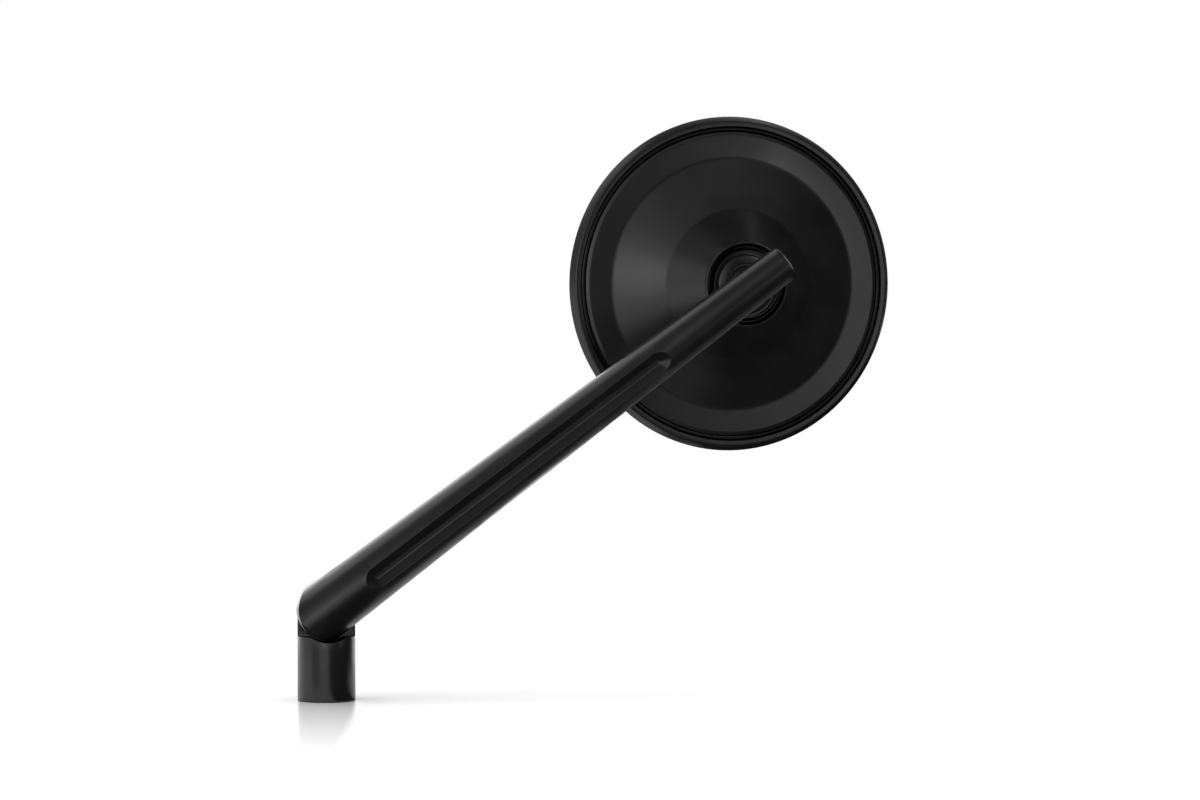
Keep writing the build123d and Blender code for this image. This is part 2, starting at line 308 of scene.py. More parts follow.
    def lathe_place(self, lathe: Lathe) -> Socket:
        """Place on the piece in a lathe's own frame.

        Args:
            lathe: Axis that the piece lies on.

        Returns:
            The place's socket.
        """
        matrix = lathe.matrix()
        coords = self.add("ShaderNodeTexCoord")
        mapping = self.add("ShaderNodeMapping", vector_type="TEXTURE")
        mapping.inputs["Location"].default_value = matrix.to_translation()
        mapping.inputs["Rotation"].default_value = matrix.to_euler()
        self.join(coords.outputs["Object"], mapping.inputs["Vector"])
        return mapping.outputs["Vector"]

    def turned_place(self, place: Socket) -> Socket:
        """Distance from the axis and height along it, without the angle.

        Args:
            place: Socket of the place in the lathe's frame.

        Returns:
            The socket of both as a vector.
        """
        flat = self.add("ShaderNodeVectorMath", operation="MULTIPLY")
        flat.inputs[1].default_value = (1, 1, 0)
        self.join(place, flat.inputs[0])
        radius = self.add("ShaderNodeVectorMath", operation="LENGTH")
        self.join(flat.outputs["Vector"], radius.inputs[0])
        parts = self.add("ShaderNodeSeparateXYZ")
        self.join(place, parts.inputs[0])
        joined = self.add("ShaderNodeCombineXYZ")
        self.join(radius.outputs["Value"], joined.inputs["X"])
        self.join(parts.outputs["Z"], joined.inputs["Y"])
        return joined.outputs["Vector"]


@dataclass(frozen=True)
class SatinBlack:
    """Black anodised aluminium: fine blasted grain, faint clouds, and edges painted lighter, part wear and
    part painted highlight.
    """

    name: str
    lathe: Lathe
    dark: Triple = (0.0045, 0.0045, 0.0048)
    light: Triple = (0.0075, 0.0075, 0.0079)
    # Colour of the lighter edges: part wear, part painted highlight
    rubbed_and_highlight: Triple = (0.02, 0.02, 0.0205)
    roughness: Span = (0.28, 0.34)
    grain_scale: float = 6500.0
    grain_depth: float = 4e-6
    grain_strength: float = 0.25
    cloud_scale: float = 90.0
    # Size of the patches in which the edges turn lighter, for wear and the painted highlight
    wear_and_highlight_scale: float = 900.0
    edge_round: float = 0.15 * MM
    edge_samples: int = 8

    def material(self) -> bpy.types.Material:
        """Shader nodes of this finish.

        Returns:
            The new material.
        """
        graph = Graph(self.name)
        place = graph.lathe_place(self.lathe)
        grain = graph.noise(place, self.grain_scale)
        cloud = graph.noise(place, self.cloud_scale, detail=4.0)
        shader = graph.add("ShaderNodeBsdfPrincipled")
        edge = graph.add("ShaderNodeBevel", samples=self.edge_samples)
        edge.inputs["Radius"].default_value = self.edge_round
        normal = edge.outputs["Normal"]
        colour = graph.tint(cloud, self.dark, self.light)
        # Edges turn lighter in patches: part wear, part painted highlight along the edges
        worn_and_highlight = graph.edge_wear_and_highlight(normal, graph.noise(place, self.wear_and_highlight_scale, detail=3.0))
        graph.join(graph.blend(worn_and_highlight, colour, self.rubbed_and_highlight), shader.inputs["Base Color"])
        graph.join(graph.spread(grain, *self.roughness), shader.inputs["Roughness"])
        normal = graph.bump(grain, self.grain_depth, self.grain_strength, normal)
        graph.join(normal, shader.inputs["Normal"])
        return graph.surface(shader.outputs["BSDF"])


@dataclass(frozen=True)
class BareMetal:
    """Metal with turning or rolling lines: black oxide, spring steel or sintered bronze."""

    name: str
    lathe: Lathe
    dark: Triple
    light: Triple
    metallic: float = 1.0
    roughness: Span = (0.25, 0.4)
    line_scale: float = 3200.0
    line_depth: float = 3e-6
    pore_scale: float = 5000.0
    pore_depth: float = 4e-6
    stain_scale: float = 260.0
    relief: float = 0.4

    def on(self, name: str, lathe: Lathe) -> "BareMetal":
        """The same finish under another name, with its lines about another axis."""
        return replace(self, name=name, lathe=lathe)

    def material(self) -> bpy.types.Material:
        """Shader nodes of this finish.

        Returns:
            The new material.
        """
        graph = Graph(self.name)
        place = graph.lathe_place(self.lathe)
        lines = graph.noise(graph.turned_place(place), self.line_scale, detail=4.0, roughness=0.65)
        pores = graph.noise(place, self.pore_scale, detail=3.0)
        stain = graph.noise(place, self.stain_scale, detail=4.0)
        shader = graph.add("ShaderNodeBsdfPrincipled")
        shader.inputs["Metallic"].default_value = self.metallic
        graph.join(graph.tint(stain, self.dark, self.light), shader.inputs["Base Color"])
        graph.join(graph.spread(lines, *self.roughness), shader.inputs["Roughness"])
        normal = graph.bump(lines, self.line_depth, self.relief)
        graph.join(graph.bump(pores, self.pore_depth, self.relief, normal), shader.inputs["Normal"])
        return graph.surface(shader.outputs["BSDF"])


BLACK_OXIDE = BareMetal("black_oxide", FOOT_LATHE, (0.02, 0.02, 0.021), (0.035, 0.034, 0.034), 0.7)
SPRING_STEEL = BareMetal("spring_steel", FOOT_LATHE, (0.22, 0.22, 0.23), (0.34, 0.34, 0.35))


@dataclass(frozen=True)
class SoftBlack:
    """Rubber, foam or matte plastic: mottled colour and a fine pebbled surface."""

    name: str
    dark: Triple
    light: Triple
    roughness: Span = (0.5, 0.65)
    pebble_scale: float = 4500.0
    pebble_depth: float = 1.2e-5
    pebble_strength: float = 0.5
    bloom_scale: float = 350.0
    specular: float = 0.4

    def material(self) -> bpy.types.Material:
        """Shader nodes of this finish.

        Returns:
            The new material.
        """
        graph = Graph(self.name)
        place = graph.add("ShaderNodeTexCoord").outputs["Object"]
        pebble = graph.noise(place, self.pebble_scale, detail=3.0)
        bloom = graph.noise(place, self.bloom_scale, detail=4.0)
        shader = graph.add("ShaderNodeBsdfPrincipled")
        shader.inputs["Specular IOR Level"].default_value = self.specular
        graph.join(graph.tint(bloom, self.dark, self.light), shader.inputs["Base Color"])
        graph.join(graph.spread(bloom, *self.roughness), shader.inputs["Roughness"])
        graph.join(graph.bump(pebble, self.pebble_depth, self.pebble_strength), shader.inputs["Normal"])
        return graph.surface(shader.outputs["BSDF"])


@dataclass(frozen=True)
class SilveredGlass:
    """Convex mirror: bright silvering behind polished glass, and a ground grey green edge."""

    name: str
    lathe: Lathe
    face_radius: float
    silver: Triple = (0.80, 0.82, 0.83)
    haze: Triple = (0.74, 0.765, 0.77)
    ground: Triple = (0.07, 0.11, 0.10)
    ground_blend: float = 0.02 * MM
    ground_roughness: Span = (0.2, 0.4)
    polish: Span = (0.012, 0.03)
    film_scale: float = 45.0
    scratch_scale: float = 6000.0

    def material(self) -> bpy.types.Material:
        """Shader nodes of this finish.

        Returns:
            The new material.
        """
        graph = Graph(self.name)
        place = graph.lathe_place(self.lathe)
        parts = graph.add("ShaderNodeSeparateXYZ")
        graph.join(graph.turned_place(place), parts.inputs[0])
        edge = (self.face_radius - self.ground_blend, self.face_radius)
        rim = graph.spread(parts.outputs["X"], 0.0, 1.0, edge)
        film = graph.noise(place, self.film_scale, detail=5.0, roughness=0.6)
        scratch = graph.noise(place, self.scratch_scale, detail=3.0)
        shader = graph.add("ShaderNodeBsdfPrincipled")
        face = graph.tint(film, self.haze, self.silver)
        graph.join(graph.blend(rim, face, self.ground), shader.inputs["Base Color"])
        graph.join(graph.spread(rim, 1.0, 0.0, (0.0, 1.0)), shader.inputs["Metallic"])
        polish = graph.spread(film, *self.polish)
        rough = graph.add("ShaderNodeMath", operation="MULTIPLY_ADD")
        graph.join(rim, rough.inputs[0])
        graph.join(graph.spread(scratch, *self.ground_roughness), rough.inputs[1])
        graph.join(polish, rough.inputs[2])
        graph.join(rough.outputs[0], shader.inputs["Roughness"])
        return graph.surface(shader.outputs["BSDF"])


Finish = SatinBlack | BareMetal | SoftBlack | SilveredGlass


def deselect() -> None:
    """Leave edit mode and clear the selection."""
    if bpy.context.object is not None and bpy.context.object.mode != "OBJECT":
        bpy.ops.object.mode_set(mode="OBJECT")
    bpy.ops.object.select_all(action="DESELECT")


def activate(piece: Piece) -> None:
    """Make a piece the only selected one and the active one.

    Args:
        piece: The piece.
    """
    deselect()
    piece.select_set(True)
    bpy.context.view_layer.objects.active = piece


def select_points(piece: Piece, places: list[Vector], reach: float) -> None:
    """Select the vertices near some places, in edit mode.

    Args:
        piece: The piece in edit mode.
        places: Places in the piece's own frame.
        reach: How near a vertex has to be.
    """
    mesh = bmesh.from_edit_mesh(piece.data)
    bpy.ops.mesh.select_all(action="DESELECT")
    for vertex in mesh.verts:
        vertex.select = any((vertex.co - place).length < reach for place in places)
    mesh.select_flush_mode()
    bmesh.update_edit_mesh(piece.data)


@dataclass(frozen=True)
class Corner:
    """A point of a half section in millimetres, with the radius its corner is rounded to."""

    radius: float
    height: float
    rounded: float = 0.0

    def place(self) -> Vector:
        """The point on the XZ plane in metres."""
        return Vector((self.radius * MM, 0, self.height * MM))


def tangent_length(before: Vector, corner: Vector, after: Vector, radius: float) -> float:
    """Distance from a corner to where its rounding of that radius starts."""
    angle = (before - corner).angle(after - corner)
    return radius / math.tan(angle / 2)


def outline(name: str, section: list[Corner]) -> Piece:
    """Closed half section drawn point by point, left in edit mode.

    Args:
        name: The piece's name.
        section: The section, corner by corner.

    Returns:
        The new piece.
    """
    deselect()
    bpy.ops.mesh.primitive_plane_add(size=MM, location=(0, 0, 0))
    piece = bpy.context.object
    piece.name = piece.data.name = name
    bpy.ops.object.mode_set(mode="EDIT")
    bpy.ops.mesh.select_all(action="SELECT")
    bpy.ops.mesh.merge(type="CENTER")
    places = [corner.place() for corner in section]
    bpy.ops.transform.translate(value=places[0])
    for here, there in zip(places, places[1:]):
        bpy.ops.mesh.extrude_vertices_move(TRANSFORM_OT_translate={"value": there - here})
    ends = [places[-1], places[0]]
    if ends[0].x > 0 or ends[1].x > 0:
        select_points(piece, ends, MERGE_REACH)
        bpy.ops.mesh.edge_face_add()
    return piece


def turned(name: str, section: list[Corner], lathe: Lathe, steps: int = TURN_STEPS) -> Piece:
    """Piece turned from a half section, its corners rounded, and set on a lathe's axis.

    Args:
        name: The piece's name.
        section: Closed half section, corner by corner.
        lathe: Axis that the piece is turned about.
        steps: Steps of a full turn.

    Returns:
        The new piece, with its place in its mesh.
    """
    piece = outline(name, section)
    places = [corner.place() for corner in section]
    for index, corner in enumerate(section):
        if corner.rounded:
            before = places[index - 1]
            after = places[(index + 1) % len(places)]
            offset = tangent_length(before, places[index], after, corner.rounded * MM)
            select_points(piece, [places[index]], MERGE_REACH)
            bpy.ops.mesh.bevel(offset=offset, segments=ROUND_STEPS, affect="VERTICES", clamp_overlap=True)
    bpy.ops.mesh.select_all(action="SELECT")
    bpy.ops.mesh.spin(steps=steps, angle=math.tau, center=(0, 0, 0), axis=(0, 0, 1))
    bpy.ops.mesh.select_all(action="SELECT")
    bpy.ops.mesh.remove_doubles(threshold=MERGE_REACH)
    bpy.ops.mesh.normals_make_consistent(inside=False)
    bpy.ops.object.mode_set(mode="OBJECT")
    settle(piece, lathe)
    return piece


def shade(piece: Piece) -> None:
    """Smooth a piece and keep the edges past the crease angle sharp."""
    activate(piece)
    bpy.ops.object.shade_smooth_by_angle(angle=math.radians(CREASE))


def settle(piece: Piece, lathe: Lathe) -> None:
    """Carry a piece to its axis, apply its place to its mesh and shade it.

    Args:
        piece: Piece modelled about Z at the origin.
        lathe: Axis that it belongs on.
    """
    activate(piece)
    piece.matrix_world = lathe.matrix() @ piece.matrix_world
    bpy.ops.object.transform_apply(location=True, rotation=True, scale=True)
    shade(piece)


def apply_modifier(piece: Piece, kind: str, **settings: object) -> None:
    """Add a modifier to a piece and apply it.

    Args:
        piece: The piece.
        kind: The modifier's type.
        settings: Attributes of the modifier.
    """
    activate(piece)
    modifier = piece.modifiers.new(kind.title(), kind)
    for key, value in settings.items():
        setattr(modifier, key, value)
    bpy.ops.object.modifier_apply(modifier=modifier.name)


def cut(piece: Piece, cutter: Piece) -> None:
    """Cut a piece with another and remove the cutter."""
    apply_modifier(piece, "BOOLEAN", operation="DIFFERENCE", solver="EXACT", object=cutter)
    bpy.data.objects.remove(cutter)


def dress(piece: Piece, finish: Finish, body: Body, slot: Slot, *nodes: str) -> Piece:
    """Give a new piece its finish and its place among the bodies.

    Args:
        piece: The piece.
        finish: Finish whose material it gets.
        body: Body that it rides on.
        slot: Slot of the record that it belongs to. Not used.
        nodes: Solids that it stands for.

    Returns:
        The piece.
    """
    piece.data.materials.clear()
    piece.data.materials.append(finish.material())
    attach(piece, body.value)
    if nodes:
        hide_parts(*nodes)
    log.info("%s: %d faces on %s", piece.name, len(piece.data.polygons), body.value)
    return piece


def finish_node(node: str, finish: Finish) -> None:
    """Give a carried over solid a finish of its own.

    Args:
        node: The solid's name.
        finish: Finish whose material it gets.
    """
    mesh = frame["nodes"][node].data
    mesh.materials.clear()
    mesh.materials.append(finish.material())
    log.info("%s: finished as %s", node, finish.name)


@dataclass
class HeadShell:
    """Back shell and rim of the head. Heights run from the ball towards the arm, in mm."""

    lathe: Lathe = HEAD_LATHE
    hub_bore: float = 8.97
    hub_shelf: float = 1.828
    hub_floor: float = -11.22
    hub_wall: float = 2.0
    groove: float = 12.1
    lip: float = 12.75
    lip_height: float = 5.328
    lip_round: float = 0.45
    flare: float = 22.2
    flare_blend: float = 3.0
    cone_top: float = -3.47
    cone_bend: float = 27.5
    cone_hollow: float = 0.22
    cone_blend: float = 40.0
    step: float = 37.45
    step_blend: float = 4.0
    shell_wall: float = 2.0
    inner_inset: float = 0.5
    rim_back: float = -9.52
    rim_widest: float = -11.62
    rim_front: float = -16.22
    pad_plane: float = -13.22
    web_top: float = -11.12
    web_bore: float = 44.6
    spigot: float = 44.58
    spigot_wall: float = 1.5
    spigot_clear: float = 0.15
    flange: float = 45.4
    flange_edge_width: float = 1.1
    flange_edge_drop: float = 0.3
    seam: float = 47.0
    rim: float = 50.0
    rim_chamfer: float = 1.5
    recess: float = 47.45
    lip_wall: float = 1.15
    edge_round: float = 0.45
    fine_round: float = 0.2

    def housing(self) -> Piece:
        """Stepped back shell with its hub and spigot.

        Returns:
            The shell.
        """
        rise = (self.cone_top - self.rim_back) / (self.step - self.flare)
        bend_height = self.rim_back + rise * (self.step - self.cone_bend) - self.cone_hollow
        drop = self.shell_wall / math.cos(math.atan(rise))
        inner = self.rim_back - drop
        spigot_bore = self.spigot - self.spigot_wall
        spigot_foot = self.pad_plane + self.spigot_clear
        section = [
            Corner(self.lip, self.lip_height, self.lip_round),
            Corner(self.groove, self.lip_height, self.fine_round),
            Corner(self.groove, self.hub_shelf),
            Corner(self.hub_bore, self.hub_shelf, self.fine_round),
            Corner(self.hub_bore, self.hub_floor),
            Corner(0, self.hub_floor),
            Corner(0, self.pad_plane),
            Corner(self.hub_bore + self.hub_wall, self.pad_plane),
            Corner(self.hub_bore + self.hub_wall, self.cone_top),
            Corner(self.flare - self.shell_wall, self.cone_top - drop),
            Corner(self.step - self.inner_inset, inner),
            Corner(spigot_bore, inner),
            Corner(spigot_bore, spigot_foot),
            Corner(self.spigot, spigot_foot),
            Corner(self.spigot, self.web_top),
            Corner(self.flange, self.web_top),
            Corner(self.flange, self.rim_back - self.flange_edge_drop, self.fine_round),
            Corner(self.flange - self.flange_edge_width, self.rim_back, self.fine_round),
            Corner(self.step, self.rim_back, self.step_blend),
            Corner(self.cone_bend, bend_height, self.cone_blend),
            Corner(self.flare, self.cone_top, self.flare_blend),
            Corner(self.lip, self.lip_height - (self.lip - self.groove), self.fine_round),
        ]
        piece = turned("back_shell", section, self.lathe)
        finish = SatinBlack("satin_black_shell", self.lathe)
        return dress(piece, finish, Body.HEAD, Slot.BLACK_ANODISED, "housing")

    def rim_ring(self) -> Piece:
        """Outer ring with its chamfered back edge, tapered front and the glass recess.

        Returns:
            The ring.
        """
        front = self.recess + self.lip_wall
        section = [
            Corner(self.web_bore, self.pad_plane),
            Corner(self.recess, self.pad_plane),
            Corner(self.recess, self.rim_front, self.fine_round),
            Corner(front, self.rim_front, self.edge_round),
            Corner(self.rim, self.rim_widest, self.fine_round),
            Corner(self.rim - self.rim_chamfer, self.rim_back, self.edge_round),
            Corner(self.seam, self.rim_back, self.fine_round),
            Corner(self.seam, self.web_top),
            Corner(self.web_bore, self.web_top),
        ]
        piece = turned("outer_rim", section, self.lathe)
        finish = SatinBlack("satin_black_rim", self.lathe)
        return dress(piece, finish, Body.HEAD, Slot.BLACK_ANODISED, "rim_ring")

    def build(self) -> None:
        """Build the pieces of the shell."""
        self.housing()
        self.rim_ring()


@dataclass
class BallSocket:
    """Nut, seals, ball and what lies round it. Heights run from the ball towards the arm, in mm."""

    lathe: Lathe = HEAD_LATHE
    mouth: float = 6.2
    seat: float = 7.92
    face: float = 8.6
    face_edge: float = 4.55
    flange: float = 10.1
    skirt: float = 8.95
    skirt_foot: float = 0.3
    face_height: float = 5.228
    shelf: float = 1.828
    collar: float = 4.95
    collar_wall: float = 0.4
    groove_floor: float = 3.9
    groove_inner: float = 8.9
    seat_steps: int = 8
    fine_round: float = 0.12
    face_round: float = 0.5

    def nut(self) -> Piece:
        """Round nut with a coned face in a thin collar and the hollow seat for the ball.

        Returns:
            The nut.
        """
        seat = []
        top = math.asin(math.sqrt(self.seat**2 - self.mouth**2) / self.seat)
        low = math.asin(self.skirt_foot / self.seat)
        for index in range(self.seat_steps + 1):
            angle = top + (low - top) * index / self.seat_steps
            seat.append(Corner(self.seat * math.cos(angle), self.seat * math.sin(angle)))
        section = [
            *seat,
            Corner(self.skirt, self.skirt_foot),
            Corner(self.skirt, self.shelf),
            Corner(self.flange, self.shelf),
            Corner(self.flange, self.collar, self.fine_round),
            Corner(self.flange - self.collar_wall, self.collar, self.fine_round),
            Corner(self.flange - self.collar_wall, self.groove_floor),
            Corner(self.groove_inner, self.groove_floor),
            Corner(self.face, self.face_edge, self.face_round),
            Corner(self.mouth, self.face_height, self.face_round),
        ]
        piece = turned("hub_nut", section, self.lathe)
        finish = SatinBlack("satin_black_nut", self.lathe)
        return dress(piece, finish, Body.HEAD, Slot.BLACK_ANODISED, "retaining_nut")

    def dress_nodes(self) -> None:
        """Finish the carried over pieces of the joint and the seals."""
        liner = SoftBlack("liner_nylon", (0.02, 0.02, 0.02), (0.035, 0.035, 0.034), (0.35, 0.5))
        rubber = SoftBlack(
            "seal_rubber", (0.001, 0.001, 0.001), (0.002, 0.002, 0.002), (0.12, 0.2), specular=0.2
        )
        finish_node("ball_stud", BLACK_OXIDE.on("black_oxide_stud", STUD_LATHE))
        finish_node("ball_liner", liner)
        finish_node("pressure_cup", liner)
        finish_node("disc_springs", SPRING_STEEL.on("disc_spring_steel", self.lathe))
        finish_node("hub_seal", rubber)
        finish_node("rim_seal", rubber)

    def build(self) -> None:
        """Build the nut and finish the joint."""
        self.nut()
        self.dress_nodes()


def bar(radius: float, start: float, end: float, lathe: Lathe, sides: int = 128) -> Piece:
    """Round bar on a lathe's axis, used as stock or as a cutter.

    Args:
        radius: Radius in mm.
        start: Height of its foot along the axis, in mm.
        end: Height of its top along the axis, in mm.
        lathe: Axis that it lies on.
        sides: Flats round it.

    Returns:
        The bar.
    """
    deselect()
    place = (0, 0, (start + end) / 2 * MM)
    bpy.ops.mesh.primitive_cylinder_add(
        vertices=sides, radius=radius * MM, depth=(end - start) * MM, location=place
    )
    piece = bpy.context.object
    piece.matrix_world = lathe.matrix() @ piece.matrix_world
    bpy.ops.object.transform_apply(location=True, rotation=True, scale=True)
    return piece


def block(low: Triple, high: Triple) -> Piece:
    """Box used as a cutter.

    Args:
        low: Its low corner in mm.
        high: Its high corner in mm.

    Returns:
        The box.
    """
    deselect()
    low_corner, high_corner = Vector(low) * MM, Vector(high) * MM
    bpy.ops.mesh.primitive_cube_add(size=1, location=(low_corner + high_corner) / 2)
    piece = bpy.context.object
    piece.scale = high_corner - low_corner
    bpy.ops.object.transform_apply(location=True, rotation=True, scale=True)
    return piece


@dataclass
class Foot:
    """Foot with its saddle, its half round tab and the threaded socket. Sizes in mm."""

    lathe: Lathe = FOOT_LATHE
    hinge: Lathe = HINGE_LATHE
    radius: float = 8.4
    height: float = 18.7
    saddle: float = 9.125
    tab_front: float = 0.1
    bush_bore: float = 3.56
    washer_recess: float = 6.6
    washer_seat: float = 0.75
    head_way: float = 4.6
    head_seat: float = 3.55
    socket: float = 4.375
    socket_depth: float = 13.0
    drill_slope: float = 31.0
    mouth: float = 5.15
    thread_pitch: float = 1.25
    thread_root: float = 5.05
    thread_turns: int = 9
    thread_steps: int = 48
    thread_flank: float = 30.0
    thread_flat: float = 1 / 16
    thread_overlap: float = 0.1
    edge_round: float = 0.1
    edge_steps: int = 3
    edge_angle: float = 35.0
    reach: float = 40.0
    overcut: float = 1.0

    def post(self) -> Piece:
        """Round bar cut to the saddle, the tab and the hinge bores, with soft edges.

        Returns:
            The post.
        """
        centre = pivot.z / MM
        piece = bar(self.radius, 0, centre + self.radius, self.lathe)
        piece.name = piece.data.name = "foot_post"
        far = self.reach
        cut(piece, block((-far, -far, self.height), (far, self.tab_front, far + centre)))
        crown = block((-far, -far, centre), (far, far, centre + far))
        cut(crown, bar(self.radius, -far - self.overcut, far + self.overcut, self.hinge))
        cut(piece, crown)
        cut(piece, bar(self.saddle, -far, self.tab_front, self.hinge))
        cut(piece, bar(self.washer_recess, -self.overcut, self.washer_seat, self.hinge))
        cut(piece, bar(self.bush_bore, -self.overcut, far, self.hinge))
        cut(piece, bar(self.head_way, self.head_seat, far, self.hinge))
        apply_modifier(
            piece,
            "BEVEL",
            width=self.edge_round * MM,
            segments=self.edge_steps,
            limit_method="ANGLE",
            angle_limit=math.radians(self.edge_angle),
            use_clamp_overlap=True,
        )
        cut(piece, self.socket_cutter())
        cut(piece, self.thread_cutter())
        shade(piece)
        finish = SatinBlack("satin_black_foot", self.lathe)
        return dress(piece, finish, Body.FOOT, Slot.BLACK_ANODISED, "base_post")

    def socket_cutter(self) -> Piece:
        """Tapping drill with its point and the countersink at the mouth.

        Returns:
            The cutter.
        """
        point = self.socket_depth + self.socket * math.tan(math.radians(self.drill_slope))
        lead = self.mouth - self.socket
        section = [
            Corner(0, -self.overcut),
            Corner(self.mouth, -self.overcut),
            Corner(self.mouth, 0),
            Corner(self.socket, lead),
            Corner(self.socket, self.socket_depth),
            Corner(0, point),
        ]
        return turned("socket_cutter", section, self.lathe, SMALL_TURN_STEPS)

    def thread_cutter(self) -> Piece:
        """Helical ridge that cuts the thread into the socket.

        Returns:
            The cutter.
        """
        inner = self.socket - self.thread_overlap
        crest = self.thread_pitch * self.thread_flat
        half = (self.thread_root - inner) * math.tan(math.radians(self.thread_flank)) + crest
        points = [
            Corner(inner, -half),
            Corner(self.thread_root, -crest),
            Corner(self.thread_root, crest),
            Corner(inner, half),
        ]
        piece = outline("thread_cutter", points)
        bpy.ops.object.mode_set(mode="OBJECT")
        apply_modifier(
            piece,
            "SCREW",
            axis="Z",
            screw_offset=self.thread_pitch * MM,
            iterations=self.thread_turns,
            steps=self.thread_steps,
            render_steps=self.thread_steps,
        )
        activate(piece)
        bpy.ops.object.mode_set(mode="EDIT")
        rise = self.thread_pitch * self.thread_turns * MM
        for lift in (0.0, rise):
            ends = [corner.place() + Vector((0, 0, lift)) for corner in points]
            select_points(piece, ends, MERGE_REACH)
            bpy.ops.mesh.edge_face_add()
        bpy.ops.mesh.select_all(action="SELECT")
        bpy.ops.mesh.normals_make_consistent(inside=False)
        bpy.ops.object.mode_set(mode="OBJECT")
        return piece

    def build(self) -> None:
        """Build the foot."""
        self.post()


@dataclass
class HingeScrew:
    """Low head socket screw of the hinge, and the washers and bush round it. Sizes in mm."""

    lathe: Lathe = HINGE_LATHE
    shank: float = 2.5
    shank_end: float = -6.375
    head: float = 4.25
    head_seat: float = 4.8
    head_top: float = 7.4
    head_round: float = 0.4
    key_size: float = 3.0
    key_depth: float = 1.6
    key_sides: int = 6
    seat_round: float = 0.15
    overcut: float = 1.0

    def screw(self) -> Piece:
        """Turned screw with its hexagon recess.

        Returns:
            The screw.
        """
        section = [
            Corner(0, self.shank_end),
            Corner(self.shank, self.shank_end, self.head_round),
            Corner(self.shank, self.head_seat),
            Corner(self.head, self.head_seat, self.seat_round),
            Corner(self.head, self.head_top, self.head_round),
            Corner(0, self.head_top),
        ]
        piece = turned("hinge_screw", section, self.lathe, SMALL_TURN_STEPS)
        key_radius = self.key_size / math.sqrt(3)
        key_floor, key_top = self.head_top - self.key_depth, self.head_top + self.overcut
        cut(piece, bar(key_radius, key_floor, key_top, self.lathe, self.key_sides))
        shade(piece)
        finish = BLACK_OXIDE.on("black_oxide_screw", self.lathe)
        return dress(piece, finish, Body.ARM, Slot.BLACK_STEEL, "hinge_bolt")

    def build(self) -> None:
        """Build the screw and finish what it clamps."""
        self.screw()
        plastic = SoftBlack("washer_acetal", (0.012, 0.012, 0.012), (0.02, 0.02, 0.02), (0.4, 0.5))
        bronze = BareMetal("sintered_bronze", self.lathe, (0.28, 0.16, 0.06), (0.45, 0.27, 0.11))
        finish_node("front_friction_washer", plastic)
        finish_node("rear_friction_washer", plastic)
        finish_node("hinge_bush", bronze)
        finish_node("hinge_spring_washer", SPRING_STEEL.on("spring_washer", self.lathe))


@dataclass
class Arm:
    """Tapered arm and the lock screw in its end."""

    lathe: Lathe = ARM_LATHE
    edge_round: float = 0.25 * MM

    def build(self) -> None:
        """Finish the arm and its lock screw."""
        finish_node("arm", SatinBlack("satin_black_arm", self.lathe, edge_round=self.edge_round))
        finish_node("stud_lock_screw", BLACK_OXIDE.on("black_oxide_lock_screw", self.lathe))


@dataclass
class Glass:
    """Convex glass and the pad behind it. Heights run from the ball towards the arm, in mm."""

    lathe: Lathe = HEAD_LATHE
    radius: float = 47.3
    thickness: float = 2.0
    curve: float = 1200.0
    back_edge: float = -14.02
    edge_chamfer: float = 0.3
    steps: int = 12

    def bulge(self, edge: float, outwards: bool) -> list[Corner]:
        """Half section of a face that bulges away from the arm.

        Args:
            edge: Height of the face at the glass's edge.
            outwards: Whether the points run from the axis to the edge.

        Returns:
            The points of the face.
        """
        rim_fall = math.sqrt(self.curve**2 - self.radius**2)
        points = []
        for index in range(self.steps + 1):
            radius = self.radius * index / self.steps
            points.append(Corner(radius, edge - math.sqrt(self.curve**2 - radius**2) + rim_fall))
        return points if outwards else points[::-1]

    def glass(self) -> Piece:
        """Bent glass with a ground chamfer round its front.

        Returns:
            The glass.
        """
        front = self.back_edge - self.thickness
        face = self.bulge(front, False)
        section = [
            *self.bulge(self.back_edge, True),
            Corner(self.radius, front + self.edge_chamfer),
            Corner(self.radius - self.edge_chamfer, face[0].height),
            *face[1:],
        ]
        piece = turned("convex_glass", section, self.lathe)
        finish = SilveredGlass("silvered_glass", self.lathe, (self.radius - self.edge_chamfer) * MM)
        return dress(piece, finish, Body.HEAD, Slot.MIRROR_GLASS, "mirror_glass")

    def build(self) -> None:
        """Build the glass and finish the pad."""
        self.glass()
        foam = SoftBlack("adhesive_foam", (0.03, 0.03, 0.03), (0.05, 0.05, 0.05), (0.7, 0.85))
        finish_node("backing_pad", foam)


STUDIO_MIDDLE = Vector((0.07, 0.0, 0.09))
CARD_AWAY = 0.9


def aim(azimuth: float, elevation: float = 0.0) -> Vector:
    """Direction by its azimuth, from the front towards +X, and its elevation, both in degrees."""
    turn, lift = math.radians(azimuth), math.radians(elevation)
    return Vector((math.sin(turn) * math.cos(lift), -math.cos(turn) * math.cos(lift), math.sin(lift)))


def middle(span: Span) -> float:
    """Middle of a span."""
    return (span[0] + span[1]) / 2


def spread_at(span: Span, away: float) -> float:
    """Width that a span of degrees covers at a distance."""
    return 2 * away * math.tan(math.radians(span[1] - span[0]) / 2)


